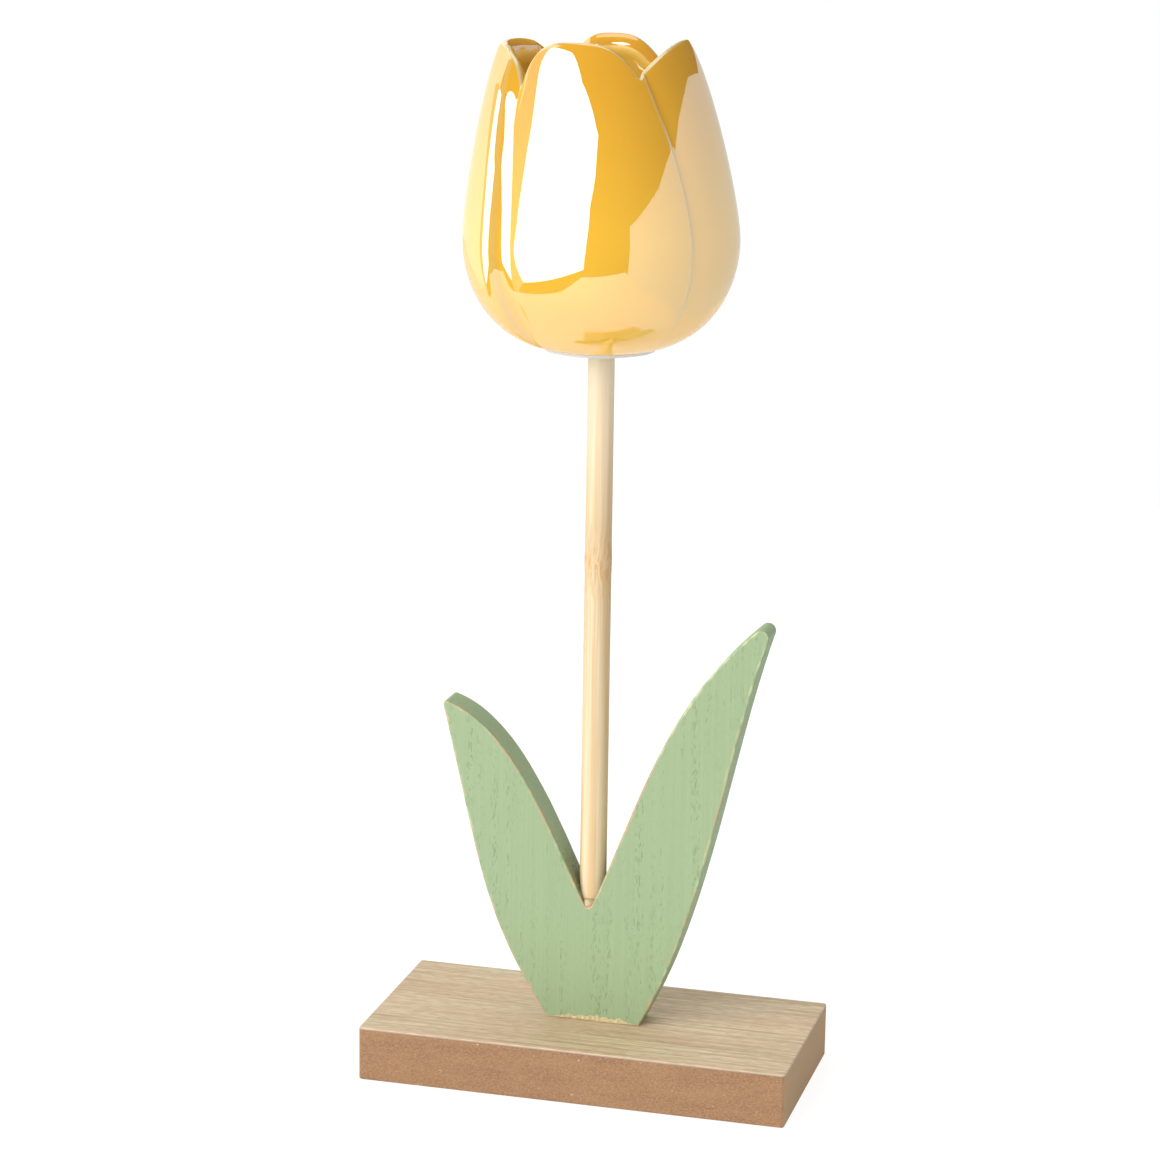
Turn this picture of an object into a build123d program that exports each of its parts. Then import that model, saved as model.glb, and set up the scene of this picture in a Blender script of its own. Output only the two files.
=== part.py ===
from build123d import *
from math import sqrt
import os

# Standing tulip ornament: a glazed ceramic flower on a bamboo stem, held in the
# fork of a painted two-bladed leaf that is screwed to a veneered board.
# Millimetres, +Z up, front of the ornament facing -Y.
# The origin is the middle of the board's underside.

# Base board and the veneer used on it and on the leaf
BASE_LENGTH = 126.0
BASE_DEPTH = 60.0
BASE_CORE = 15.4
BASE_CORNER_RADIUS = 1.0
BASE_EDGE_RADIUS = 0.6
VENEER = 0.6
VENEER_EDGE_RADIUS = 0.4

# Leaf: reaches from the middle of the board, heights above its top
LEAF_CORE = 9.2
LEAF_FOOT_LEFT = 13.3
LEAF_FOOT_RIGHT = 14.3
LEFT_BLADE_REACH = 46.0
LEFT_BLADE_HEIGHT = 93.4
RIGHT_BLADE_REACH = 52.1
RIGHT_BLADE_HEIGHT = 125.9
FORK_HEIGHT = 33.0
FORK_RADIUS = 1.2
LEFT_TIP_RADIUS = 1.0
RIGHT_TIP_RADIUS = 2.2

# Leaf curves: where each edge's two handles lie, as shares of its run and rise
LEFT_OUTER_EDGE = ((0.63, 0.33), (0.62, 0.46))
LEFT_INNER_EDGE = ((0.48, 0.09), (0.72, 0.59))
RIGHT_INNER_EDGE = ((0.29, 0.38), (0.40, 0.73))
RIGHT_OUTER_EDGE = ((0.36, 0.293), (0.475, 0.715))

# Stem, which stands a little left of the board's middle
STEM_X = -1.4
STEM_FOOT_DIAMETER = 7.9
STEM_TOP_DIAMETER = 7.5
STEM_IN_LEAF = 20.5
STEM_SHOWN = 164.5
STEM_IN_HEAD = 14.0
STEM_NODE_HEIGHT = 137.0
STEM_NODE_LENGTH = 5.0
STEM_NODE_PROUD = 0.15
STEM_CLEARANCE = 0.1

# Flower head: one hollow casting of four petals
HEAD_DIAMETER = 77.4
HEAD_HEIGHT = 87.0
HEAD_WIDEST = 31.3
HEAD_FLAT_RADIUS = 8.4
HEAD_MOUTH_RADIUS = 24.4
HEAD_WALL = 5.0
HEAD_RIM = 4.6
HEAD_FLOOR = 4.5
HEAD_SEAT = 5.4
HEAD_FOOT_RADIUS = 16.0
HEAD_TURN = 1.5
PETAL_SPACING = 90.0
PETAL_LAP = 3.9
NARROW_PETAL_INSET = 2.5
NARROW_PETAL_DRIFT = 2.7
RIGHT_PETAL_INSET = 5.0
SIDE_PETAL_TILT = 1.2
NARROW_SHOULDER = 25.0
NARROW_DOME = 12.0
WIDE_SHOULDER = 36.0
WIDE_DOME = 24.0

# Head curves: handles as shares of each curve's run and rise
BELLY_OUT = 0.67
BELLY_UP = 0.51
FLANK_UP = 0.2
MOUTH_OUT = 0.38
MOUTH_DOWN = 0.056
PETAL_FOOT_OUT = 0.77

# Glue: a collar inside the cup and two beads in the fork
GLUE_COLLAR_RADIUS = 9.0
GLUE_COLLAR_CROWN = 5.5
GLUE_COLLAR_HEIGHT = 7.0
GLUE_BEAD_HEIGHT = 4.5
GLUE_BEAD_INSET = 0.4

# Countersunk wood screws from below
SCREW_LENGTH = 30.0
SCREW_DIAMETER = 3.4
SCREW_HEAD_DIAMETER = 6.8
SCREW_POINT = 4.5
SCREW_SPACING = 17.0
SCREW_RECESS = 0.4
SCREW_CLEARANCE = 0.1

# Levels and places worked out from the sizes above
BASE_TOP = BASE_CORE + VENEER
BASE_EDGE = min(BASE_EDGE_RADIUS, 0.6 * BASE_CORNER_RADIUS)
VENEER_EDGE = min(VENEER_EDGE_RADIUS, 0.7 * VENEER)
LEAF_FACE = LEAF_CORE / 2 + VENEER
LEAF_TOP = BASE_TOP + max(LEFT_BLADE_HEIGHT, RIGHT_BLADE_HEIGHT)
FORK_LEVEL = BASE_TOP + FORK_HEIGHT
STEM_FOOT = FORK_LEVEL - STEM_IN_LEAF
HEAD_BOTTOM = FORK_LEVEL + STEM_SHOWN
STEM_TOP = HEAD_BOTTOM + STEM_IN_HEAD
HEAD_RADIUS = HEAD_DIAMETER / 2
PETAL_HALF_WIDTH = HEAD_RADIUS / sqrt(2) + PETAL_LAP
PETAL_FOOT_HALF_WIDTH = HEAD_FLAT_RADIUS + PETAL_LAP
SCREW_MIDDLE = (LEAF_FOOT_RIGHT - LEAF_FOOT_LEFT) / 2
SCREW_PLACES = [SCREW_MIDDLE - SCREW_SPACING / 2, SCREW_MIDDLE + SCREW_SPACING / 2]


def rod(x, radius, low, high):
    """Plain upright cylinder from one level to another."""
    upright = (Align.CENTER, Align.CENTER, Align.MIN)
    return Pos(x, 0, low) * Cylinder(radius, high - low, align=upright)


def turned(points):
    """Solid turned about the Z axis from a closed profile of (radius, height) points."""
    face = Plane.XZ * make_face(Polyline(*points, close=True))
    return revolve(face, Axis.Z)


def screw_form(clearance):
    """Screw with its head at the bottom, or the hole that takes it."""
    shank = SCREW_DIAMETER / 2 + clearance
    head = SCREW_HEAD_DIAMETER / 2 + clearance
    neck = head - shank
    tip = SCREW_LENGTH + clearance
    form = turned([(0, 0), (head, 0), (shank, neck), (shank, tip - SCREW_POINT), (0, tip)])
    return Pos(0, 0, SCREW_RECESS) * form


def screw_holes():
    """Clearance for both screws, open through the board's underside."""
    holes = Part()
    for x in SCREW_PLACES:
        mouth = rod(0, SCREW_HEAD_DIAMETER / 2 + SCREW_CLEARANCE, -SCREW_RECESS, SCREW_RECESS)
        holes += Pos(x, 0, 0) * (screw_form(SCREW_CLEARANCE) + mouth)
    return holes


def fixing_screws():
    return Compound([Pos(x, 0, 0) * screw_form(0) for x in SCREW_PLACES])


def blade_edge(start, end, handles):
    """Curve between two points; its handles are shares of the run and the rise."""
    run = end[0] - start[0]
    rise = end[1] - start[1]
    middle = [(start[0] + run * along, start[1] + rise * up) for along, up in handles]
    return Bezier(start, *middle, end)


def leaf_outline():
    """Face of the leaf seen from the front, standing on the board."""
    foot_left = (-LEAF_FOOT_LEFT, BASE_TOP)
    foot_right = (LEAF_FOOT_RIGHT, BASE_TOP)
    left_tip = (-LEFT_BLADE_REACH, BASE_TOP + LEFT_BLADE_HEIGHT)
    right_tip = (RIGHT_BLADE_REACH, BASE_TOP + RIGHT_BLADE_HEIGHT)
    fork = (STEM_X, FORK_LEVEL)
    face = make_face(
        [
            blade_edge(foot_left, left_tip, LEFT_OUTER_EDGE),
            blade_edge(left_tip, fork, LEFT_INNER_EDGE),
            blade_edge(fork, right_tip, RIGHT_INNER_EDGE),
            blade_edge(right_tip, foot_right, RIGHT_OUTER_EDGE),
            Line(foot_right, foot_left),
        ]
    )
    for point, radius in (
        (left_tip, LEFT_TIP_RADIUS),
        (right_tip, RIGHT_TIP_RADIUS),
        (fork, FORK_RADIUS),
    ):
        corner = face.vertices().sort_by_distance((*point, 0))[0]
        face = fillet(corner, radius)
    return face


def leaf_slab(outline, back, front):
    """A front view as a slab between two depths, front towards -Y."""
    return extrude(Plane.XZ.offset(back) * outline, front - back)


def base_board():
    board = Pos(0, 0, BASE_CORE / 2) * Box(BASE_LENGTH, BASE_DEPTH, BASE_CORE)
    board = fillet(board.edges().filter_by(Axis.Z), BASE_CORNER_RADIUS)
    board = fillet(board.faces().sort_by(Axis.Z)[0].edges(), BASE_EDGE)
    return board - screw_holes()


def base_veneer():
    sheet = Pos(0, 0, BASE_CORE + VENEER / 2) * Box(BASE_LENGTH, BASE_DEPTH, VENEER)
    sheet = fillet(sheet.edges().filter_by(Axis.Z), BASE_CORNER_RADIUS)
    sheet = fillet(sheet.faces().sort_by(Axis.Z)[-1].edges(), VENEER_EDGE)
    return sheet - screw_holes()


def stem_radius(level):
    """Radius of the tapering stem at a level."""
    share = (level - STEM_FOOT) / (STEM_TOP - STEM_FOOT)
    return (STEM_FOOT_DIAMETER + (STEM_TOP_DIAMETER - STEM_FOOT_DIAMETER) * share) / 2


def stem_bore(bottom, top):
    """Straight hole that takes the stem between two levels."""
    widest = max(stem_radius(bottom), stem_radius(top))
    return rod(STEM_X, widest + STEM_CLEARANCE, bottom, top)


def leaf_board(outline):
    """Core of the leaf, drilled down its fork for the stem and up its foot for the screws."""
    core = leaf_slab(outline, -LEAF_CORE / 2, LEAF_CORE / 2)
    return core - stem_bore(STEM_FOOT, LEAF_TOP) - screw_holes()


def leaf_veneer(outline, side):
    """Veneer on one face of the leaf; side is 1 for the front and -1 for the back."""
    if side > 0:
        sheet = leaf_slab(outline, LEAF_CORE / 2, LEAF_FACE)
    else:
        sheet = leaf_slab(outline, -LEAF_FACE, -LEAF_CORE / 2)
    show = sheet.faces().sort_by(Axis.Y)[0 if side > 0 else -1]
    rim = [edge for edge in show.edges() if edge.center().Z > BASE_TOP + VENEER]
    sheet = fillet(rim, VENEER_EDGE)
    return sheet - stem_bore(STEM_FOOT, LEAF_TOP)


def stem_glue(outline):
    """Beads that fill the bottom of the fork in front of and behind the stem."""
    width = 2 * stem_radius(FORK_LEVEL)
    fill = Pos(STEM_X, FORK_LEVEL) * Rectangle(width, 2 * GLUE_BEAD_HEIGHT)
    fork = (fill - outline).faces().sort_by(Axis.Y)[-1]
    depth = LEAF_FACE - GLUE_BEAD_INSET
    return leaf_slab(fork, -depth, depth) - stem_bore(STEM_FOOT, LEAF_TOP)


def bamboo_stem():
    """Tapered rod with one slightly proud node ring."""
    node = BASE_TOP + STEM_NODE_HEIGHT
    below = node - STEM_NODE_LENGTH / 2
    above = node + STEM_NODE_LENGTH / 2
    lower = Polyline(
        (0, STEM_TOP), (0, STEM_FOOT), (stem_radius(STEM_FOOT), STEM_FOOT), (stem_radius(below), below)
    )
    ring = ThreePointArc(
        (stem_radius(below), below), (stem_radius(node) + STEM_NODE_PROUD, node), (stem_radius(above), above)
    )
    upper = Polyline((stem_radius(above), above), (stem_radius(STEM_TOP), STEM_TOP), (0, STEM_TOP))
    profile = Plane.XZ * make_face([*lower.edges(), ring, *upper.edges()])
    return Pos(STEM_X, 0, 0) * revolve(profile, Axis.Z)


def cup(inset, floor, rim_inset, lift):
    """The cup's round form: rounded bottom, widest low down, closing towards the mouth."""
    flat = HEAD_FLAT_RADIUS
    wide = HEAD_RADIUS - inset
    mouth = HEAD_MOUTH_RADIUS - rim_inset
    flank = HEAD_HEIGHT - HEAD_WIDEST
    belly_curve = Bezier(
        (flat, floor),
        (flat + BELLY_OUT * (wide - flat), floor),
        (wide, HEAD_WIDEST - BELLY_UP * (HEAD_WIDEST - floor)),
        (wide, HEAD_WIDEST),
    )
    flank_curve = Bezier(
        (wide, HEAD_WIDEST),
        (wide, HEAD_WIDEST + FLANK_UP * flank),
        (mouth + MOUTH_OUT * (wide - mouth), HEAD_HEIGHT - MOUTH_DOWN * flank),
        (mouth, HEAD_HEIGHT),
    )
    top = HEAD_HEIGHT + lift
    close = Polyline((mouth, HEAD_HEIGHT), (mouth, top), (0, top), (0, floor), (flat, floor))
    return revolve(Plane.XZ * make_face([belly_curve, flank_curve, *close.edges()]), Axis.Z)


def petal_outline(shoulder, dome):
    """Front view of one petal: ovate, with its shoulder height and dome width given."""
    half = PETAL_HALF_WIDTH
    foot = PETAL_FOOT_HALF_WIDTH
    low = -HEAD_FLOOR
    right = [
        Line((foot, low), (foot, 0)),
        Bezier(
            (foot, 0),
            (foot + PETAL_FOOT_OUT * (half - foot), 0),
            (half, HEAD_WIDEST - BELLY_UP * HEAD_WIDEST),
            (half, HEAD_WIDEST),
        ),
        Bezier((half, HEAD_WIDEST), (half, HEAD_WIDEST + shoulder), (dome, HEAD_HEIGHT), (0, HEAD_HEIGHT)),
    ]
    left = [edge.mirror(Plane.YZ) for edge in right]
    return Plane.XZ * make_face([*right, *left, Line((-foot, low), (foot, low))])


def petal(shoulder, dome, inset, drift, tilt, turn):
    """One petal: an inset shell drifted sideways and outward, trimmed to the petal's outline."""
    shell = cup(inset, 0, inset, HEAD_RIM)
    shell -= cup(inset + HEAD_WALL, HEAD_FLOOR, inset + HEAD_RIM, 2 * HEAD_RIM)
    aside, outward = drift
    trim = extrude(petal_outline(shoulder, dome), HEAD_DIAMETER)
    form = Pos(aside, -outward, 0) * shell & Pos(0, -2 * outward, 0) * trim
    return Rot(0, 0, turn) * Rot(tilt, 0, 0) * form


def tulip_head():
    """Four petals and a flat foot fused into one casting, bored for the stem."""
    front, right, back, left = (HEAD_TURN + PETAL_SPACING * step for step in range(4))
    narrow = (NARROW_SHOULDER, NARROW_DOME, NARROW_PETAL_INSET)
    wide = (WIDE_SHOULDER, WIDE_DOME)
    head = rod(0, HEAD_FOOT_RADIUS, 0, HEAD_SEAT)
    head += petal(*wide, 0, (0, 0), SIDE_PETAL_TILT, left)
    head += petal(*narrow, (NARROW_PETAL_DRIFT, 0), 0, front)
    head += petal(*narrow, (-NARROW_PETAL_DRIFT, 0), 0, back)
    head += petal(*wide, RIGHT_PETAL_INSET, (0, RIGHT_PETAL_INSET), -SIDE_PETAL_TILT, right)
    room = 2 * HEAD_DIAMETER
    head &= Box(room, room, 2 * HEAD_HEIGHT, align=(Align.CENTER, Align.CENTER, Align.MIN))
    head = Pos(STEM_X, 0, HEAD_BOTTOM) * head
    return head - stem_bore(HEAD_BOTTOM, STEM_TOP)


def head_glue():
    """Collar of glue on the cup's seat round the end of the stem."""
    seat = HEAD_BOTTOM + HEAD_SEAT
    crown = seat + GLUE_COLLAR_HEIGHT
    slope = ThreePointArc(
        (GLUE_COLLAR_RADIUS, seat),
        ((GLUE_COLLAR_RADIUS + GLUE_COLLAR_CROWN) / 2, seat + GLUE_COLLAR_HEIGHT / 3),
        (GLUE_COLLAR_CROWN, crown),
    )
    close = Polyline((GLUE_COLLAR_CROWN, crown), (0, crown), (0, seat), (GLUE_COLLAR_RADIUS, seat))
    collar = revolve(Plane.XZ * make_face([slope, *close.edges()]), Axis.Z)
    return Pos(STEM_X, 0, 0) * collar - stem_bore(HEAD_BOTTOM, STEM_TOP)


def export(node, shape):
    export_step(shape, os.path.join("parts", node + ".step"))


if __name__ == "__main__":
    os.makedirs("parts", exist_ok=True)
    leaf = leaf_outline()
    export("base_board", base_board())
    export("base_veneer", base_veneer())
    export("leaf_board", leaf_board(leaf))
    export("leaf_front_veneer", leaf_veneer(leaf, 1))
    export("leaf_back_veneer", leaf_veneer(leaf, -1))
    export("bamboo_stem", bamboo_stem())
    export("tulip_head", tulip_head())
    export("head_glue", head_glue())
    export("stem_glue", stem_glue(leaf))
    export("fixing_screws", fixing_screws())
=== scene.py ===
# %% [markdown]
# # A tulip ornament, dressed for its portrait
#
# The solids of this ornament are already made and packed: a veneered board, a forked leaf, a bamboo
# stem and a hollow flower cup. This lesson keeps them as a fixed frame, in metres, and adds what the
# eye wants: glaze, paint, grain, worn edges, glue, light and a camera.

# %% Load the frame
import math
from collections import namedtuple

import bmesh
import bpy
import numpy as np
from mathutils import Matrix, Vector, geometry, noise


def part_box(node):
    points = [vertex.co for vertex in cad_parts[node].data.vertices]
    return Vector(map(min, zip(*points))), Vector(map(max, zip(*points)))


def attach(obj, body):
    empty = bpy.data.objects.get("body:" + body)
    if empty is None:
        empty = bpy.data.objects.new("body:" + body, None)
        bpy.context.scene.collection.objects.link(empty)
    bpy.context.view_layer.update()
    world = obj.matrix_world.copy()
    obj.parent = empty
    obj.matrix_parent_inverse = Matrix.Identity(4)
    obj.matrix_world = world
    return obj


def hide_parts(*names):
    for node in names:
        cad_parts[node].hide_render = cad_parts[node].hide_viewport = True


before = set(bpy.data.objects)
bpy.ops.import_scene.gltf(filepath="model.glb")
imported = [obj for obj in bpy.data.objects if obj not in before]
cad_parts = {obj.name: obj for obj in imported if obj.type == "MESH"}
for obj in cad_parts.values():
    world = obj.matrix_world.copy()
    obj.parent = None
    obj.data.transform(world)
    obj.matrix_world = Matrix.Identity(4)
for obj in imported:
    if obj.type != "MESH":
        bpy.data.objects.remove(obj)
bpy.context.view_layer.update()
MM = 0.001
print("frame:", sorted(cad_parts))

# %% [markdown]
# ## Four small helpers
#
# Colours are written as the sRGB hex values that a painter would read off a swatch, and the renderer wants
# them linear. Nodes could be made and wired one line at a time, but such a tree is hard to read. Here one
# function adds a node with its settings and its links and hands back its outputs, for shaders and for
# Geometry Nodes alike. The other two start a material with an empty tree, and turn points in millimetres
# into a smooth mesh object.

# %% Helpers for colour, nodes and meshes
def linear(swatch):
    """sRGB hex, such as "f6c94a", to linear RGBA."""
    channels = [int(swatch[i : i + 2], 16) / 255 for i in (0, 2, 4)]
    return [*(c / 12.92 if c <= 0.04045 else ((c + 0.055) / 1.055) ** 2.4 for c in channels), 1.0]


def add(tree, kind, wires=None, **settings):
    """Adds a node and returns its outputs; wires gives each input a socket to link or a value to hold."""
    made = tree.nodes.new(kind)
    for name, value in settings.items():
        setattr(made, name, value)
    for key, value in (wires or {}).items():
        if isinstance(value, bpy.types.NodeSocket):
            tree.links.new(value, made.inputs[key])
        else:
            made.inputs[key].default_value = value
    return made.outputs


def new_material(name):
    """A material with an empty node tree, and that tree."""
    made = bpy.data.materials.new(name)
    made.use_nodes = True
    made.node_tree.nodes.clear()
    return made, made.node_tree


def mesh_object(name, points, faces):
    """A smooth mesh object from points in millimetres and lists of corner numbers."""
    mesh = bpy.data.meshes.new(name)
    mesh.from_pydata((np.asarray(points) * MM).tolist(), [], [list(map(int, face)) for face in faces])
    mesh.polygons.foreach_set("use_smooth", [True] * len(mesh.polygons))
    mesh.validate()
    made = bpy.data.objects.new(name, mesh)
    bpy.context.scene.collection.objects.link(made)
    return made


print("middle grey in linear light:", [round(c, 3) for c in linear("808080")])

# %% [markdown]
# ## The camera
#
# The photographer's place could be guessed by eye, but the board's corners say it better. A camera fitted to
# them has a long lens and stands about a metre away, a little to the right and above, rolled by less than a
# degree. The picture is square.

# %% Camera at the photographer's place, in degrees and millimetres
VIEW_AZIMUTH = 14.93
VIEW_ELEVATION = 13.64
VIEW_ROLL = math.radians(0.86)
VIEW_DISTANCE = 987.8
VIEW_HEIGHT = 150.0
VIEW_SLIDE = (-6.48, -2.81)
LENS = 108.04
SENSOR = 36.0
NEAREST = 10.0
FARTHEST = 100000.0


def toward(azimuth, elevation):
    """Unit vector to an azimuth, counted from the front to the right, and an elevation in degrees."""
    a, e = math.radians(azimuth), math.radians(elevation)
    return Vector((math.sin(a) * math.cos(e), -math.cos(a) * math.cos(e), math.sin(e)))


back = toward(VIEW_AZIMUTH, VIEW_ELEVATION)
level = toward(VIEW_AZIMUTH + 90, 0)
upright = back.cross(level)
right = level * math.cos(VIEW_ROLL) + upright * math.sin(VIEW_ROLL)
up = upright * math.cos(VIEW_ROLL) - level * math.sin(VIEW_ROLL)
stand = Vector((0, 0, VIEW_HEIGHT)) + back * VIEW_DISTANCE + right * VIEW_SLIDE[0] + up * VIEW_SLIDE[1]

camera = bpy.data.objects.new("camera", bpy.data.cameras.new("camera"))
camera.data.lens = LENS
camera.data.sensor_width = SENSOR
camera.data.clip_start = NEAREST * MM
camera.data.clip_end = FARTHEST * MM
camera.matrix_world = Matrix((right, up, back)).transposed().to_4x4()
camera.location = stand * MM
bpy.context.scene.collection.objects.link(camera)
bpy.context.scene.camera = camera
print("camera stands at", [round(c, 4) for c in camera.location])

# %% [markdown]
# ## The table
#
# The ornament stands on a white laminate table. A plain plane would do under a dull object, but the flower's
# belly mirrors the table, so its outline is drawn: it ends a forearm's length in front of the ornament and
# runs far back on the left. As in any catalogue picture it is overexposed, so the camera sees it brighter
# than the lamps make it, and it sends a little more light up.

# %% Table top, in millimetres
TABLE = [
    *((-130, -480), (275, -590), (235, -385), (195, -250), (240, -160), (255, -55), (210, 30)),
    *((170, 80), (165, 200), (210, 360), (160, 600), (0, 1040), (-1600, 1800), (-330, -20), (-190, -230)),
]
TABLE_BOUNCE = 0.3
BLEACH_SHARE = 0.75
BLEACH_LIGHT = 1.15

table = mesh_object("table_top", [(x, y, 0) for x, y in TABLE], [range(len(TABLE))])
# Overexposed laminate gives the eye a plain, bright white with soft shadows and no gloss.
laminate, tree = new_material("white laminate table")
ray = add(tree, "ShaderNodeLightPath")
bounce = add(tree, "ShaderNodeMath", {0: ray["Is Diffuse Ray"], 1: TABLE_BOUNCE}, operation="MULTIPLY")
white = {"Base Color": linear("ededec"), "Roughness": 0.7}
glow = {"Emission Color": linear("ffffff"), "Emission Strength": bounce[0]}
lit_top = add(tree, "ShaderNodeBsdfPrincipled", {**white, **glow})
bleached = add(tree, "ShaderNodeEmission", {"Color": linear("ffffff"), "Strength": BLEACH_LIGHT})
bleach = add(tree, "ShaderNodeMath", {0: ray["Is Camera Ray"], 1: BLEACH_SHARE}, operation="MULTIPLY")
shown = add(tree, "ShaderNodeMixShader", {0: bleach[0], 1: lit_top[0], 2: bleached[0]})
add(tree, "ShaderNodeOutputMaterial", {"Surface": shown[0]})
table.data.materials.append(laminate)
print("table:", len(TABLE), "corners")

# %% [markdown]
# ## What the glaze mirrors
#
# A glossy flower shows the studio more than itself. A tall softbox stands at the left of the camera with a
# dim strip beyond it, a low bluish wall at the right, a pale sweep at the left rear and a ceiling above.
# Between them are dark gaps, and where the glaze mirrors a gap it keeps its full yellow. They could be
# modelled as furniture, but all that counts is where the flower sees them. So each wall is given by the
# directions of its corners, and it shows in reflections only.

# %% Studio walls, by azimuth and elevation in degrees as seen from the flower
FLOWER_LEVEL = 250.0
WALL_REACH = 3000.0
SOFTBOX = [
    *((-76, -31), (-38, -28), (-13, -20), (-10, 1), (-7, 11), (-2, 16), (2, 22), (-3, 24), (-14, 26)),
    *((-19, 30), (-28, 36), (-39, 36), (-50, 35), (-59, 32), (-64, 22), (-70, 14), (-71, 6), (-74, -10)),
]
RIGHT_WALL = [
    *((26, -40), (60, -60), (120, -65), (150, -50), (185, -30), (185, 3)),
    *((158, 9), (130, 18), (104, 20), (77, 19), (62, 16), (29, 9)),
]
LEFT_SWEEP = [
    *((185, -40), (252, -40), (256, -6), (258, 18), (284, 30)),
    *((308, 34), (308, 46), (246, 46), (205, 40), (185, 30)),
]
LEFT_GAP = [
    *((-104, -40), (-76, -31), (-74, -10), (-71, 6), (-70, 14), (-64, 22)),
    *((-59, 32), (-76, 30), (-102, 18), (-104, -6)),
]
CEILING = [(azimuth, 66) for azimuth in range(0, 360, 30)]


def studio_wall(name, corners, strength, tint="fffdfa"):
    """A glowing screen whose corners lie in the given directions, seen in reflections only."""
    middle = Vector((0, 0, FLOWER_LEVEL))
    rim = [middle + toward(*corner) * WALL_REACH for corner in corners]
    centre = sum(rim, Vector()) / len(rim)
    faces = [(i, (i + 1) % len(rim), len(rim)) for i in range(len(rim))]
    wall = mesh_object(name, [*rim, centre], faces)
    glowing, tree = new_material(name)
    light = add(tree, "ShaderNodeEmission", {"Color": linear(tint), "Strength": strength})
    add(tree, "ShaderNodeOutputMaterial", {"Surface": light[0]})
    wall.data.materials.append(glowing)
    wall.visible_camera = False
    wall.visible_diffuse = False
    wall.visible_shadow = False
    print(f"{name}: {len(corners)} corners, strength {strength}")


studio_wall("key softbox", SOFTBOX, strength=4.5)
studio_wall("low right wall", RIGHT_WALL, strength=1.05, tint="d6ebf6")
studio_wall("left sweep", LEFT_SWEEP, strength=1.3)
studio_wall("left gap", LEFT_GAP, strength=0.5)
studio_wall("ceiling", CEILING, strength=1.0)

# %% [markdown]
# ## Light
#
# Broad suns light the ornament: a key from the left front, a weak fill from the right, and one from behind.
# Area lamps would do it too, but they light the table unevenly and show in the glaze. The air is white to
# the camera, dim and warm to the glaze, and lends every surface a little light from all round.

# %% Suns and air
AIR_LIGHT = 0.4
AIR_IN_GLAZE = 0.12


def broad_sun(name, azimuth, elevation, strength, spread):
    """An even, soft light from one side, left out of reflections."""
    lamp = bpy.data.lights.new(name, "SUN")
    lamp.energy = strength
    lamp.angle = math.radians(spread)
    made = bpy.data.objects.new(name, lamp)
    made.rotation_mode = "QUATERNION"
    made.rotation_quaternion = toward(azimuth, elevation).to_track_quat("Z", "Y")
    made.visible_glossy = False
    bpy.context.scene.collection.objects.link(made)


broad_sun("key light", azimuth=-35, elevation=28, strength=3.1, spread=60)
broad_sun("fill light", azimuth=60, elevation=20, strength=0.6, spread=90)
broad_sun("back light", azimuth=180, elevation=45, strength=0.8, spread=90)

world = bpy.data.worlds.new("studio air")
world.use_nodes = True
bpy.context.scene.world = world
air = world.node_tree
air.nodes.clear()
ray = add(air, "ShaderNodeLightPath")
seen = add(air, "ShaderNodeBackground", {"Color": linear("ffffff"), "Strength": 1.0})
ambient = add(air, "ShaderNodeBackground", {"Color": linear("ffffff"), "Strength": AIR_LIGHT})
gaps = add(air, "ShaderNodeBackground", {"Color": linear("fff4e0"), "Strength": AIR_IN_GLAZE})
lit = add(air, "ShaderNodeMixShader", {0: ray["Is Glossy Ray"], 1: ambient[0], 2: gaps[0]})
whole = add(air, "ShaderNodeMixShader", {0: ray["Is Camera Ray"], 1: lit[0], 2: seen[0]})
add(air, "ShaderNodeOutputWorld", {"Surface": whole[0]})
bpy.context.scene.view_settings.view_transform = "Standard"

# %% [markdown]
# ## The flower's form
#
# The flower is one hollow casting. It would be quick to turn a cup on an axis, but the real one has four
# petals that lap each other, and the glaze mirrors every step. So the surface is woven from columns that
# follow the petals' edges: four broad patches for the petals and four narrow strips for the steps between
# them. A point's height runs along the cup's profile, and that comes first: two curves that meet at the
# cup's widest level.

# %% Cup profile, in millimetres
head_low, head_high = (np.array(corner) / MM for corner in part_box("tulip_head"))
RIM_SPARE = 0.5
CUP_FOOT = head_low[2]
CUP_TOP = head_high[2] - RIM_SPARE
CUP_RADIUS = (head_high[0] - head_low[0]) / 2
WIDEST_RISE = 31.3
CUP_WIDEST = CUP_FOOT + WIDEST_RISE
CUP_FLAT = 8.4
CUP_MOUTH = 24.4
BELLY_SPREAD = 28.7
BELLY_RISE = 16.0
FLANK_RISE = 11.2
SHOULDER_RADIUS = 29.8
SHOULDER_DROP = 3.1
FOOT_RADIUS = 16.0
PROFILE_STEPS = 400


def curve(points, t):
    """Bezier curve from the first of four points to the last, at the shares t."""
    a, b, c, d = (np.array(p, float) for p in points)
    t = np.asarray(t)[..., None]
    return a * (1 - t) ** 3 + 3 * b * t * (1 - t) ** 2 + 3 * c * t * t * (1 - t) + d * t**3


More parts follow.
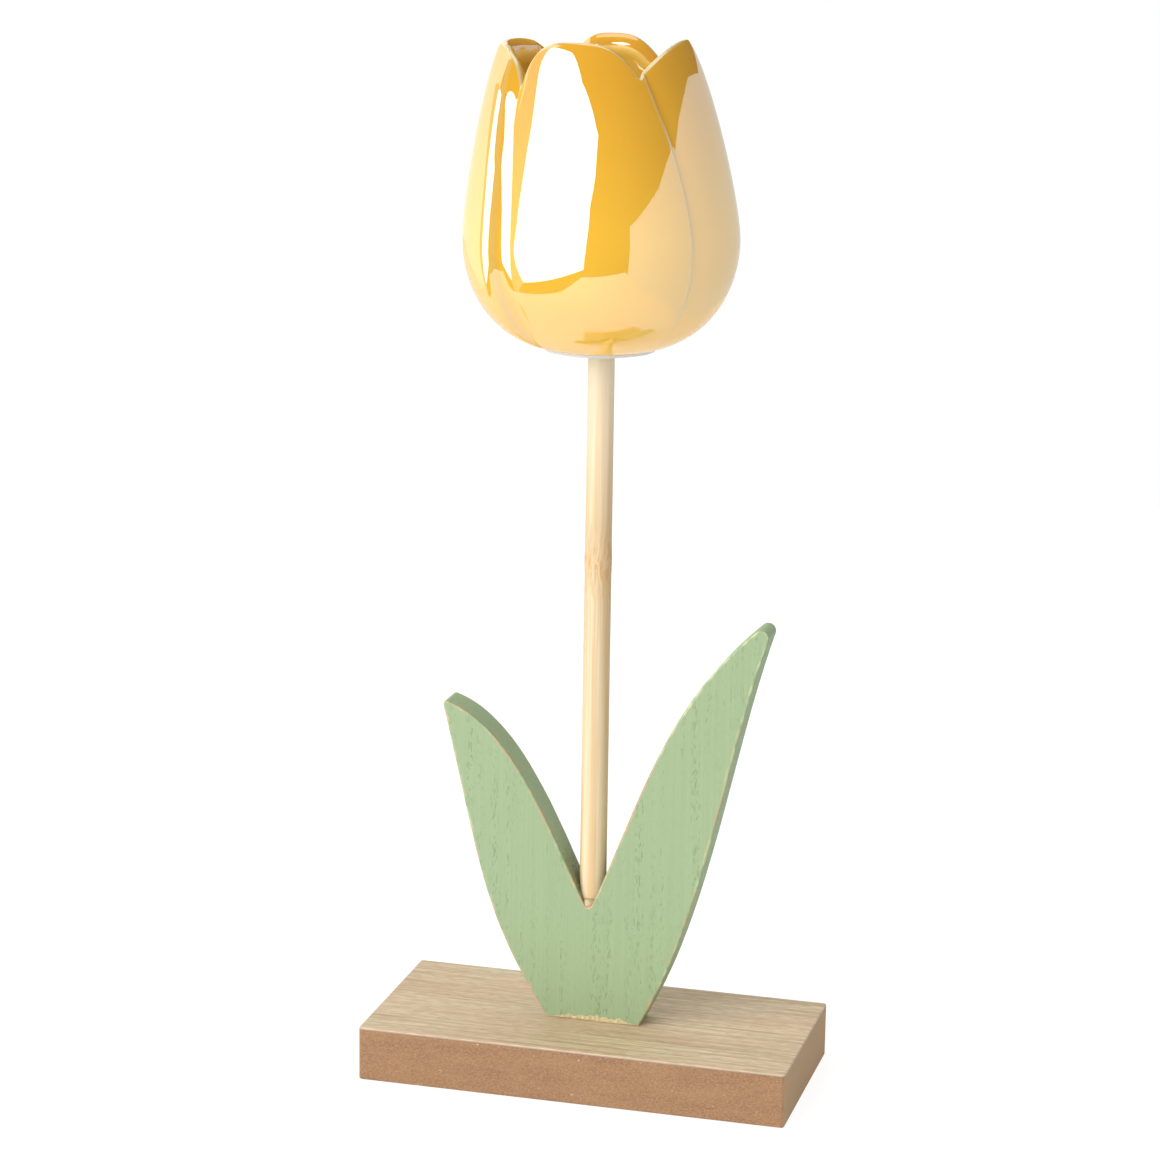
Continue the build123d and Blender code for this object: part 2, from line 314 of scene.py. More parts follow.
along = np.linspace(0, 1, PROFILE_STEPS)
widest = (CUP_RADIUS, CUP_WIDEST)
under_widest = (CUP_RADIUS, CUP_WIDEST - BELLY_RISE)
over_widest = (CUP_RADIUS, CUP_WIDEST + FLANK_RISE)
shoulder = (SHOULDER_RADIUS, CUP_TOP - SHOULDER_DROP)
belly = curve([(CUP_FLAT, CUP_FOOT), (BELLY_SPREAD, CUP_FOOT), under_widest, widest], along)
flank = curve([widest, over_widest, shoulder, (CUP_MOUTH, CUP_TOP)], along)
profile = np.vstack([belly, flank[1:]])
run = np.concatenate([[0], np.cumsum(np.linalg.norm(np.diff(profile, axis=0), axis=1))])
slope = np.gradient(profile, run, axis=0)
foot_run = np.interp(FOOT_RADIUS, belly[:, 0], run[: len(belly)])


def on_profile(length):
    """Radius and height at lengths along the profile, and its normal there, outward and upward."""
    radius = np.interp(length, run, profile[:, 0])
    height = np.interp(length, run, profile[:, 1])
    rise = np.interp(length, run, slope[:, 1])
    spread = np.interp(length, run, slope[:, 0])
    size = np.hypot(rise, spread)
    return radius, height, rise / size, -spread / size


print("profile length", round(run[-1], 1), "mm, cup radius", round(CUP_RADIUS, 2), "mm")

# %% [markdown]
# Seen from the front, a petal's edge is a curve up the cup. It could be traced point by point, but three
# numbers are easier to correct: its angle round the axis at the widest level, and how fast that changes
# above and below, as a parabola. The rim is four domes, one for each petal, and the highest of them counts.
# The back is the front's mirror image, apart from the domes.

# %% Petal edges and rim, in degrees and millimetres
def petal_edge(middle, above, below):
    """A petal edge's angle at each height: its angle at the widest level, bent above and below it."""

    def edge(z):
        over = z - CUP_WIDEST
        return middle + np.where(over > 0, above, below) * over**2

    return edge


def mirrored(edge):
    """The same petal edge on the back of the flower."""
    return lambda z: 180 - edge(z)


def turned_round(edge):
    """The same petal edge counted after a full turn."""
    return lambda z: 360 + edge(z)


left_ridge = petal_edge(-42.0, above=-0.0071, below=-0.003)
left_valley = petal_edge(-30.8, above=-0.0049, below=-0.003)
right_ridge = petal_edge(54.2, above=-0.0058, below=0.0016)
right_valley = petal_edge(56.4, above=-0.0058, below=0.0016)

# Each dome's middle and half spread in degrees, with its rise and how blunt it is.
PETAL_DOMES = [
    {"middle": 1.2, "rise": 0.1, "spread": 40.4, "bluntness": 3.3},
    {"middle": 91.7, "rise": 0.0, "spread": 57.7, "bluntness": 2.5},
    {"middle": 182.3, "rise": -0.85, "spread": 33.5, "bluntness": 3.15},
    {"middle": -90.2, "rise": -1.85, "spread": 50.4, "bluntness": 4.3},
]
DOME_DROP = 12.0


def rim_height(angle):
    """Height of the rim all round: the highest of the four petals' domes."""
    domes = []
    for dome in PETAL_DOMES:
        away = (angle - dome["middle"] + 180) % 360 - 180
        fall = DOME_DROP * np.abs(away / dome["spread"]) ** dome["bluntness"]
        domes.append(CUP_TOP + dome["rise"] - fall)
    return np.max(domes, axis=0)


print("rim at the front:", round(float(rim_height(np.array(0.0))), 1), "mm")

# %% [markdown]
# A relief sets the petals out from the profile or in. A bump in the material could fake it, but the rim
# would stay round. The left petal lies outermost and the right one innermost. Each strip is a step between
# two petals, and in section it is two arcs: a rounded ridge that turns over into a hollow. The steeper the
# step, the more of the studio it mirrors in a narrow line.

# %% Relief of the petals, in millimetres at the widest level and at the rim
LEFT_EDGE = (0.5, -1.2)
FRONT_LOW = (-4.1, -4.2)
FRONT_HIGH = (-0.3, -2.0)
RIGHT_EDGE = (-1.2, -2.9)
RIDGE_SHARE = 0.42
BOW_POWER = 3


def eased(share):
    """A share that starts and ends gently."""
    return share * share * (3 - 2 * share)


def at_height(pair, z):
    """A relief given at the cup's widest level and at its rim, at the heights between."""
    over = np.clip((z - CUP_WIDEST) / (CUP_TOP - CUP_WIDEST), 0, 1)
    return pair[0] + (pair[1] - pair[0]) * over**2


def two_arcs(share, drop, width):
    """Height above the valley, from ridge (share 0) to valley (share 1)."""
    turn = 2 * np.arctan(drop / width)
    total = width / np.sin(turn)
    ridge = RIDGE_SHARE * total
    hollow = total - ridge
    x = share * width
    falling = drop - ridge + np.sqrt(np.maximum(ridge**2 - x**2, 0))
    landing = hollow - np.sqrt(np.maximum(hollow**2 - (width - x) ** 2, 0))
    return np.where(x < ridge * np.sin(turn), falling, landing)


def front_relief(share, z, width):
    """The front petal: tucked under the left petal at one side, lapping the right one at the other."""
    low = at_height(FRONT_LOW, z)
    return low + (at_height(FRONT_HIGH, z) - low) * eased(share)


def bowed(edge):
    """A wide petal: nothing along its middle, and its edge's relief at both sides."""
    return lambda share, z, width: at_height(edge, z) * np.abs(2 * share - 1) ** BOW_POWER


def lapped(ridge, valley):
    """A step from the edge of an outer petal down to the petal that it laps."""

    def step(share, z, width):
        low = at_height(valley, z)
        return low + two_arcs(share, at_height(ridge, z) - low, width)

    return step


left_relief = bowed(LEFT_EDGE)
right_relief = bowed(RIGHT_EDGE)
left_step = lapped(LEFT_EDGE, FRONT_LOW)
right_step = lapped(FRONT_HIGH, RIGHT_EDGE)
print("left step drops", round(LEFT_EDGE[0] - FRONT_LOW[0], 1), "mm at the widest level")

# %% [markdown]
# Two more things vary across a patch. Along a petal's edge the glaze breaks thin and leaves a pale line, and
# at the left notches the petals' rims roll inward, which ends the white reflections short of the rim. All
# three rules count from a patch's first side, so the back uses the same rules counted backwards.

# %% Patches of the flower, from the left valley at the front round to the right
PETAL_COLUMNS = 72
STEP_COLUMNS = 20
ROLL_SHARE = 0.22
Patch = namedtuple("Patch", "start end relief columns line roll")


def nowhere(share):
    """No line or roll on the patch."""
    return 0 * share


def everywhere(share):
    """All of the patch alike."""
    return 1 + 0 * share


def backwards(rule):
    """The same rule counted from a patch's other side."""
    return lambda share, *rest: rule(1 - share, *rest)


def thin_line(strength, place, width):
    """A pale line along the columns, strongest at one place across a patch."""
    return lambda share: strength * np.exp(-(((share - place) / width) ** 2))


def early_roll(share):
    """Rolled in towards the notch at a patch's first side only."""
    return np.clip(1 - share / ROLL_SHARE, 0, 1) ** 2


def both_rolls(share):
    """Rolled in towards the notches at both sides."""
    return early_roll(share) + late_roll(share)


late_roll = backwards(early_roll)
left_line = thin_line(strength=0.4, place=RIDGE_SHARE, width=0.035)
right_line = thin_line(strength=0.75, place=0.24, width=0.26)
back_edges = [mirrored(edge) for edge in (right_valley, right_ridge, left_valley, left_ridge)]
last_edges = [turned_round(edge) for edge in (left_ridge, left_valley)]
EDGES = [left_valley, right_ridge, right_valley, *back_edges, *last_edges]
RULES = [
    (front_relief, PETAL_COLUMNS, nowhere, early_roll),
    (right_step, STEP_COLUMNS, right_line, nowhere),
    (right_relief, PETAL_COLUMNS, nowhere, nowhere),
    (backwards(right_step), STEP_COLUMNS, backwards(right_line), nowhere),
    (backwards(front_relief), PETAL_COLUMNS, nowhere, late_roll),
    (backwards(left_step), STEP_COLUMNS, backwards(left_line), everywhere),
    (left_relief, PETAL_COLUMNS, nowhere, both_rolls),
    (left_step, STEP_COLUMNS, left_line, everywhere),
]
PATCHES = [Patch(start, end, *rules) for start, end, rules in zip(EDGES, EDGES[1:], RULES)]
print("columns round the flower:", sum(patch.columns for patch in PATCHES))

# %% [markdown]
# The weave closes on itself: out over the flat foot from the stem's hole, up the outside, over the rounded
# lip, down the inside and back through the hole. A Solidify modifier could give the cup its wall, but its
# lip would be square. Below the widest level a relief lifts a point along the profile's normal, and above it
# level outward, so that the rim keeps its height.

# %% Skin of a patch
AXIS_X = -2.0
LEAN = -2.5
LEAN_POWER = 1.3
RELIEF_GROWS = 17
ROLL_IN = 1.2
ROLL_REACH = 11.0
LIP_EDGE = 1.0
LIP_TUCK = 0.85
HALVINGS = 40


def lean(z):
    """The cup's axis, which leans a little to the left above the widest level."""
    over = np.clip((z - CUP_WIDEST) / (CUP_TOP - CUP_WIDEST), 0, None)
    return AXIS_X + LEAN * over**LEAN_POWER


def place(angle, radius, z):
    """Points from angles, radii and heights, one row for each column."""
    turn = np.radians(angle)
    return np.stack([lean(z) + radius * np.sin(turn), -radius * np.cos(turn), z], axis=-1)


def column_rims(patch, share):
    """Length along the profile at which each column meets the rim, found by halving."""
    low = np.full_like(share, CUP_WIDEST)
    high = np.full_like(share, CUP_TOP)
    for _ in range(HALVINGS):
        middle = (low + high) / 2
        angle = patch.start(middle) + share * (patch.end(middle) - patch.start(middle))
        inside = middle < np.minimum(rim_height(angle) - LIP_TUCK * LIP_EDGE, CUP_TOP)
        low = np.where(inside, middle, low)
        high = np.where(inside, high, middle)
    return np.interp(low, profile[:, 1], run)


def skin(patch, share, rim, length, inward):
    """Angle, radius and height of a patch's columns at lengths along the profile, set inward by a wall."""
    radius, z, out, over = on_profile(length)
    angle = patch.start(z) + share[:, None] * (patch.end(z) - patch.start(z))
    width = np.radians(patch.end(z) - patch.start(z)) * radius
    grown = eased(np.clip((radius - FOOT_RADIUS) / RELIEF_GROWS, 0, 1))
    near_rim = np.clip(1 - (rim[:, None] - length) / ROLL_REACH, 0, 1)
    lift = patch.relief(share[:, None], z, width) * grown
    lift = lift - ROLL_IN * near_rim**2 * patch.roll(share)[:, None]
    lift_out = np.where(over > 0, 1.0, out)
    lift_up = np.where(over > 0, 0.0, over)
    return angle, radius + lift * lift_out - inward * out, z + lift * lift_up - inward * over


front_rims = column_rims(PATCHES[0], np.array([0.0, 0.5]))
print("profile to the left notch and the front tip:", np.round(front_rims, 1), "mm")

# %% [markdown]
# Three numbers go with each point for the glaze to read: how thin it breaks over an edge, whether the point
# is inside the cup, and whether it is on the bare foot, which is wiped clean before firing. They could be
# painted on by hand, but the weave knows them already.

# %% Rows over the lip, the foot and the floor
EDGE_ROWS = 5
LIP_ROWS = 14


def lip_rows(rim, outer, inner):
    """Rows over the lip: a tight round at its outer edge, then an easy quarter turn to the inner wall."""
    angle, radius, z = (part[:, -1:] for part in outer)
    _, _, out, over = on_profile(rim[:, None])
    turn = np.linspace(0, math.pi / 2, EDGE_ROWS + 1)[1:]
    sink = LIP_EDGE * (1 - np.cos(turn))
    climb = LIP_EDGE * np.sin(turn)
    edge = [radius - out * sink - over * climb, z - over * sink + out * climb]
    top = [part[:, -1:] for part in edge]
    far = [inner[1][:, :1] - top[0], inner[2][:, :1] - top[1]]
    across = -out * far[0] - over * far[1]
    depth = over * far[0] - out * far[1]
    turn = np.linspace(0, math.pi / 2, LIP_ROWS + 2)[1:-1]
    sink = across * np.sin(turn)
    drop = depth * (1 - np.cos(turn))
    lip = [top[0] - out * sink + over * drop, top[1] - over * sink - out * drop]
    return angle * np.ones(EDGE_ROWS + LIP_ROWS), np.hstack([edge[0], lip[0]]), np.hstack([edge[1], lip[1]])


def flat_rows(angle, radii, levels):
    """Rows at the given radii and levels, for the foot and for the floor of the cup."""
    ring = np.ones_like(angle)
    return angle * np.ones(len(radii)), ring * radii, ring * levels


print("rows over the lip:", EDGE_ROWS + LIP_ROWS)

# %% Weave the flower, in millimetres
OUTSIDE_ROWS = 110
INSIDE_ROWS = 46
FLAT_ROWS = 5
FOOT_BEVEL = 0.3
FOOT_LINE = 0.004
CUP_BORE = 3.87
CUP_SEAT = 5.4
CUP_WALL = 4.2
SEAT_SHARE = 0.25
LIP_POWER = 6
LIP_ACROSS = 3.4
LIP_DEPTH = 7.0
THIN_ROWS = 4
THIN_RIM = 0.75


def weave_patch(patch):
    """A patch's points, column by column, each a closed ring, and the three numbers for the glaze."""
    share = np.arange(patch.columns) / patch.columns
    rim = column_rims(patch, share)
    climb = np.concatenate([[0], np.linspace(FOOT_LINE, 1, OUTSIDE_ROWS - 1)])
    outer = skin(patch, share, rim, foot_run + (rim[:, None] - foot_run) * climb, 0)
    down = np.linspace(1, 0, INSIDE_ROWS)
    wall = CUP_WALL + (LIP_EDGE + LIP_ACROSS - CUP_WALL) * down**LIP_POWER
    wall = wall + (CUP_SEAT - CUP_WALL) * np.clip(1 - down / SEAT_SHARE, 0, 1) ** 2
    inner = skin(patch, share, rim, (rim - LIP_DEPTH + LIP_EDGE)[:, None] * down, wall)
    foot_radii = np.append(np.linspace(CUP_BORE, FOOT_RADIUS - FOOT_BEVEL, FLAT_ROWS - 1), FOOT_RADIUS)
    foot_levels = CUP_FOOT + np.append(np.zeros(FLAT_ROWS - 1), FOOT_BEVEL)
    foot = flat_rows(outer[0][:, :1], foot_radii, foot_levels)
    floor_radii = np.linspace(CUP_FLAT, CUP_BORE, FLAT_ROWS + 1)[1:]
    floor = flat_rows(outer[0][:, :1], floor_radii, np.full(FLAT_ROWS, CUP_FOOT + CUP_SEAT))
    rows = zip(foot, outer, lip_rows(rim, outer, inner), inner, floor)
    angle, radius, z = (np.hstack(parts) for parts in rows)
    rim_row = FLAT_ROWS + OUTSIDE_ROWS
    thin = np.zeros_like(z)
    thin[:, FLAT_ROWS:rim_row] = patch.line(share)[:, None]
    thin[:, rim_row : rim_row + THIN_ROWS] = THIN_RIM
    inside = np.zeros_like(z)
    inside[:, rim_row + EDGE_ROWS + LIP_ROWS // 2 :] = 1
    bare = np.zeros_like(z)
    bare[:, : FLAT_ROWS + 1] = 1
    return place(angle, radius, z), thin, inside, bare


def point_attribute(piece, name, values):
    """Stores one number for each of a piece's points, for its material to read."""
    layer = piece.data.attributes.new(name, "FLOAT", "POINT")
    layer.data.foreach_set("value", np.asarray(values, np.float32))


def weave_flower():
    """All patches side by side, closed all round."""
    woven = zip(*(weave_patch(patch) for patch in PATCHES))
    points, thin, inside, bare = (np.concatenate(parts) for parts in woven)
    columns, rows = points.shape[:2]
    index = np.arange(columns * rows).reshape(columns, rows)
    beside = np.roll(index, -1, axis=0)
    above = np.roll(index, -1, axis=1)
    corner = np.roll(beside, -1, axis=1)
    faces = np.stack([index, beside, corner, above], axis=-1).reshape(-1, 4)
    woven_cup = mesh_object("tulip_flower", points.reshape(-1, 3), faces)
    point_attribute(woven_cup, "glaze_thin", thin.ravel())
    point_attribute(woven_cup, "cup_inside", inside.ravel())
    point_attribute(woven_cup, "bare_foot", bare.ravel())
    return woven_cup


flower = weave_flower()
print("flower points", len(flower.data.vertices))

# %% [markdown]
# ## The glaze
#
# The flower is earthenware under a clear yellow glaze with a lustre film on top. A plain glossy yellow would
# look like plastic, because the film mirrors far more than glass does, like the inside of a shell. So the
# index of refraction is set well above a glaze's usual 1.5. Where the glaze runs thin over a rim the pale
# body shows through, and the flat foot is bare clay.
#
# Every surface of the ornament is put together in the same way: colours laid over a ground, each by a
# pattern and a strength, then a fine relief, then the shader. Some patterns are zones that grow along an
# axis, such as the deeper yellow towards the rim, which is painted shade on the cup's upper part.

# %% Helpers for surfaces
def layered(tree, ground, layers):
    """A ground colour with others laid over it, each by one or more patterns and a strength."""
    tone = linear(ground)
    for *patterns, strength, colour in layers:
        share = strength
        for pattern in patterns:
            share = add(tree, "ShaderNodeMath", {0: pattern, 1: share}, operation="MULTIPLY")[0]
        over = linear(colour) if isinstance(colour, str) else colour
        # A Mix node set to colours has its share at input 0, its colours at 6 and 7, and output 2.
        tone = add(tree, "ShaderNodeMix", {0: share, 6: tone, 7: over}, data_type="RGBA")[2]
    return tone


def surface(made, ground, layers, height, depth, shine, strength=1.0):
    """Finishes a material: layers of colour, a relief with its depth in millimetres, shader settings."""
    tree = made.node_tree
    relief = {"Height": height, "Strength": strength, "Distance": depth * MM}
    normal = add(tree, "ShaderNodeBump", relief)[0]
    look = {"Base Color": layered(tree, ground, layers), "Normal": normal, **shine}
    shader = add(tree, "ShaderNodeBsdfPrincipled", look)
    add(tree, "ShaderNodeOutputMaterial", {"Surface": shader[0]})
    print(f"{made.name}: {len(layers)} colour layers, {len(tree.nodes)} nodes")
    return made


def zone(tree, coords, axis, none, full, middle=None):
    """A share that grows from 0 to 1 between two places on an axis, or two distances from a middle."""
    at = add(tree, "ShaderNodeSeparateXYZ", {0: coords})[axis]
    if middle is not None:
        at = add(tree, "ShaderNodeMath", {0: at, 1: middle * MM}, operation="SUBTRACT")[0]
        at = add(tree, "ShaderNodeMath", {0: at}, operation="ABSOLUTE")[0]
    ends = {"Value": at, "From Min": none * MM, "From Max": full * MM}
    return add(tree, "ShaderNodeMapRange", ends)[0]


def seat(piece, material_slot, *nodes):
    """Fixes a finished piece to the ornament in place of its plain solids."""
    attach(piece, "root")
    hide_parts(*nodes)
    print(f"{piece.name}: {len(piece.data.polygons)} faces, stands for {', '.join(nodes)}")


print("a pattern 1 mm wide has the scale", 1 / MM)

# %% Lustre glaze, in millimetres
GLAZE_CLOUD = 30
GLAZE_RIPPLE = 9
# The glaze is painted deeper between these heights: painted shade on the cup's upper part.
RIM_SHADE_NONE = CUP_WIDEST + 4
RIM_SHADE_FULL = CUP_TOP - 8
LUSTRE_IOR = 3.2


def glaze_material():
    # A lustre glaze gives the eye hard, bright images of the studio on a deep yellow that drifts a little,
    # with a pale line at each edge. Inside the cup it is duller. Towards the rim the yellow is painted
    # deeper, which is painted shade on the cup's upper part.
    made, tree = new_material("yellow lustre-glazed earthenware")
    coords = add(tree, "ShaderNodeTexCoord")["Object"]
    cloud = {"Vector": coords, "Scale": 1 / (GLAZE_CLOUD * MM), "Detail": 3.0}
    cloud = add(tree, "ShaderNodeTexNoise", cloud)["Fac"]
    ripple = {"Vector": coords, "Scale": 1 / (GLAZE_RIPPLE * MM), "Detail": 2.0}
    ripple = add(tree, "ShaderNodeTexNoise", ripple)["Fac"]
    rim_shade = zone(tree, coords, "Z", RIM_SHADE_NONE, RIM_SHADE_FULL)
    inside = add(tree, "ShaderNodeAttribute", attribute_name="cup_inside")["Fac"]
    thin = add(tree, "ShaderNodeAttribute", attribute_name="glaze_thin")["Fac"]
    foot = add(tree, "ShaderNodeAttribute", attribute_name="bare_foot")["Fac"]
    layers = [
        (cloud, 1.0, "ffc83a"),
        # Painted shade: a deeper yellow towards the rim.
        (rim_shade, 0.9, "e9a91f"),
        (inside, 1.0, "f1c751"),
        (thin, 1.0, "d6d2a6"),
        (foot, 1.0, "d9d3cb"),
    ]
    dull = add(tree, "ShaderNodeMapRange", {"Value": inside, "To Min": 0.02, "To Max": 0.3})[0]
    shine = {"Roughness": dull, "IOR": LUSTRE_IOR}
    return surface(made, "fdbe2b", layers, ripple, depth=0.2, shine=shine, strength=0.05)


flower.data.materials.append(glaze_material())
seat(flower, "yellow_glaze", "tulip_head")

# %% [markdown]
# ## The base
#
# The base is MDF, pressed wood fibre, under a sheet of oak. Both solids have their right shapes, so they
# keep them and get a real surface. Wood could be painted as an image, but here all of it is one kind of
# pattern: a noise stretched by real sizes in millimetres. MDF fibres are specks, oak grain and bamboo fibres
# are long threads. The board was sawn and sanded: its long sides are evenly brown with reddish flakes and a
# few pale slivers, and its ends are greyer. The ends are also painted paler than the sides, which is
# painted light.

# %% Base board
def streaks(tree, coords, size, detail=3.0, low=0.3, high=0.7):
    """A noise of the given size along x, y and z in millimetres, stretched to the range 0 to 1."""
    scale = [1 / (length * MM) for length in size]
    stretched = add(tree, "ShaderNodeMapping", {"Vector": coords, "Scale": scale})
    cloud = add(tree, "ShaderNodeTexNoise", {"Vector": stretched[0], "Scale": 1.0, "Detail": detail})
    return add(tree, "ShaderNodeMapRange", {"Value": cloud["Fac"], "From Min": low, "From Max": high})[0]


def mdf_material():
    # Sanded MDF gives the eye a dry, even brown with no grain at all, only specks. Its fibres are a tenth of
    # a millimetre wide, too fine to show, so the specks are drawn several times as coarse.
    made, tree = new_material("sanded MDF")
    coords = add(tree, "ShaderNodeTexCoord")["Object"]
    specks = streaks(tree, coords, (0.7, 0.7, 0.45), detail=4.0, low=0.35, high=0.65)
    clouds = streaks(tree, coords, (12, 12, 3))
    flakes = streaks(tree, coords, (1.6, 1.6, 0.8), detail=2.0, low=0.55, high=0.68)
    slivers = streaks(tree, coords, (2.6, 2.6, 0.6), detail=1.0, low=0.77, high=0.83)
    # The ends are greyer, and are also painted paler: that paler tone is painted light.
    facing = add(tree, "ShaderNodeSeparateXYZ", {0: add(tree, "ShaderNodeTexCoord")["Normal"]})["X"]
    endwise = add(tree, "ShaderNodeMath", {0: facing}, operation="ABSOLUTE")[0]
    end = add(tree, "ShaderNodeMapRange", {"Value": endwise, "From Min": 0.5, "From Max": 0.9})[0]
    layers = [
        (specks, 1.0, "997554"),
        (clouds, 0.4, "a07b56"),
        (flakes, 0.35, "8e5a38"),
        (slivers, 1.0, "d0b193"),
        # Ends: greyer, and paler as painted light.
        (end, 0.6, "b3956d"),
    ]
    return surface(made, "7a583b", layers, specks, depth=0.06, shine={"Roughness": 0.75})


def dress(node, material):
    """Gives a plain solid that keeps its shape its real surface."""
    solid = bpy.data.objects[node]
    solid.data.materials.clear()
    solid.data.materials.append(material)
    print(f"{node}: {material.name}")


dress("base_board", mdf_material())

# %% [markdown]
# The veneer's grain runs along the board. Straight streaks would look printed, so threads and pores follow
# lines that wander by a millimetre, and darker rings gather in bands. The veneer's cut edge is a thin
# grey-brown line.

# %% Oak top
def oak_material():
    # Sanded oak gives the eye pale, silky wood with short dark pores, and hardly any gloss. Its pores are a
    # third of a millimetre wide, about a pixel, so they are drawn three times as coarse.
    made, tree = new_material("sanded oak veneer")
    coords = add(tree, "ShaderNodeTexCoord")["Object"]
    wander = streaks(tree, coords, (40, 20, 20), detail=1.0, low=0.2, high=0.8)
    wander = add(tree, "ShaderNodeMath", {0: wander, 1: 1.0 * MM}, operation="MULTIPLY")[0]
    wavy = add(tree, "ShaderNodeVectorMath", {0: coords, 1: wander}, operation="ADD")[0]
    drift = streaks(tree, coords, (70, 16, 16), detail=2.0)
    threads = streaks(tree, wavy, (50, 1.0, 1.0), detail=4.0, low=0.42, high=0.6)
    pores = streaks(tree, wavy, (3.5, 0.9, 0.9), low=0.42, high=0.6)
    rings = streaks(tree, wavy, (100, 1.4, 1.4), low=0.52, high=0.62)
    bands = streaks(tree, coords, (90, 14, 14), detail=1.0, low=0.35, high=0.6)
    bands = add(tree, "ShaderNodeMath", {0: bands, 1: 0.25}, operation="ADD", use_clamp=True)[0]
    facing = add(tree, "ShaderNodeSeparateXYZ", {0: add(tree, "ShaderNodeTexCoord")["Normal"]})["Z"]
    side = add(tree, "ShaderNodeMapRange", {"Value": facing, "From Min": 0.5, "From Max": 0.1})[0]
    layers = [
        (drift, 1.0, "d8c8a6"),
        (threads, 0.3, "a58863"),
        (pores, 0.3, "98744f"),
        (bands, rings, 0.37, "97744d"),
        (side, 1.0, "9c8a7c"),
    ]
    return surface(made, "ceb394", layers, pores, depth=0.04, shine={"Roughness": 0.6})


dress("base_veneer", oak_material())

# %% [markdown]
# ## The leaf
#
# The leaf is sawn from veneered MDF and painted sage green. The paint is thin: the veneer's pores show
# through the face as short dark dashes along the grain, and sanding has rubbed every edge down to a pale or
# salmon line. A bevel modifier could round the edge evenly. Here the face is rebuilt from the solid's own
# outline instead, so that its edge can be rounded unevenly and each point knows how near that edge it is.

# %% Leaf outline from the frame, in millimetres
OUTLINE_STEP = 0.7
CORNER_TURN = math.radians(25)
TOUCHING = 1e-6
SHORTEST_EDGE = 1e-4


def outline_of(node):
    """The node's outline (x, z) at its glued face, how far out that face lies, and on which side."""
    grid = bmesh.new()
    grid.from_mesh(bpy.data.objects[node].data)
    bmesh.ops.remove_doubles(grid, verts=grid.verts, dist=TOUCHING)
    inner = min(abs(v.co.y) for v in grid.verts)
    faces = {f for f in grid.faces if all(abs(abs(v.co.y) - inner) < TOUCHING for v in f.verts)}
    after = {}
    for face in faces:
        for loop in face.loops:
            if not any(other in faces for other in loop.edge.link_faces if other is not face):
                after[loop.vert] = loop.link_loop_next.vert
    start = next(iter(after))
    ring = [start]
    while after[ring[-1]] is not start:
        ring.append(after[ring[-1]])
    side = math.copysign(1, ring[0].co.y)
    points = np.array([(v.co.x, v.co.z) for v in ring]) / MM
    grid.free()
    x, z = points.T
    area = np.sum(x * np.roll(z, -1) - z * np.roll(x, -1))
    return (points if area > 0 else points[::-1]), inner / MM, side


def turns(points):
    """How far the outline turns at each point, in radians, to the left."""
    edge = np.roll(points, -1, axis=0) - points
    heading = np.arctan2(edge[:, 1], edge[:, 0])
    return (heading - np.roll(heading, 1) + math.pi) % (2 * math.pi) - math.pi


def resampled(points):
    """The outline again with even steps, its corners kept."""
    edges = np.roll(points, -1, axis=0) - points
    points = points[np.linalg.norm(edges, axis=1) > SHORTEST_EDGE]
    corners = np.flatnonzero(np.abs(turns(points)) > CORNER_TURN)
    result = []
    for first, last in zip(corners, np.roll(corners, -1)):
        count = (last - first) % len(points) or len(points)
        stretch = points[(first + np.arange(count + 1)) % len(points)]
        length = np.concatenate([[0], np.cumsum(np.linalg.norm(np.diff(stretch, axis=0), axis=1))])
        steps = max(1, round(length[-1] / OUTLINE_STEP))
        at = np.linspace(0, length[-1], steps + 1)[:-1]
        result.append(np.stack([np.interp(at, length, stretch[:, i]) for i in (0, 1)], axis=-1))
    return np.concatenate(result)


leaf_outline = resampled(outline_of("leaf_front_veneer")[0])
print("leaf outline:", len(leaf_outline), "points")

# %% [markdown]
# Rings drawn inside the outline must not run into each other in the narrow tips or at tight bends. So each
# point gets a limit: a share of the way to the far side, or of the bend's radius, eased along the outline.

# %% How far each point of the outline may move inward
REACH_SHARE = 0.36
BEND_SHARE = 0.5
EASING_POINTS = 24
EASING_SLOPE = 0.35
LEAST_TURN = 0.05
PARALLEL = 1e-9
OWN_PLACE = 1e-3
SLACK = 1e-6


def inward_normals(points):
    """Unit vectors into the outline."""
    along = np.roll(points, -1, axis=0) - np.roll(points, 1, axis=0)
    normal = np.stack([-along[:, 1], along[:, 0]], axis=-1)
    return normal / np.linalg.norm(normal, axis=1)[:, None]


def far_side(points, normal):
    """How far each point can go along its normal before it meets another stretch of the outline."""
    edge = np.roll(points, -1, axis=0) - points
    gap = points[None] - points[:, None]
    cross = normal[:, None, 0] * edge[None, :, 1] - normal[:, None, 1] * edge[None, :, 0]
    cross = np.where(np.abs(cross) < PARALLEL, PARALLEL, cross)
    reach = (gap[..., 0] * edge[None, :, 1] - gap[..., 1] * edge[None, :, 0]) / cross
    share = (gap[..., 0] * normal[:, None, 1] - gap[..., 1] * normal[:, None, 0]) / cross
    met = (reach > OWN_PLACE) & (share > -SLACK) & (share < 1 + SLACK)
    return np.where(met, reach, np.inf).min(axis=1)


def bend_radius(points):
    """Radius of the outline where it bulges outward, and no limit elsewhere."""
    turn = turns(points)
    length = np.linalg.norm(np.roll(points, -1, axis=0) - points, axis=1)
    step = (length + np.roll(length, 1)) / 2
    return np.where(turn > LEAST_TURN, step / np.maximum(turn, LEAST_TURN), np.inf)


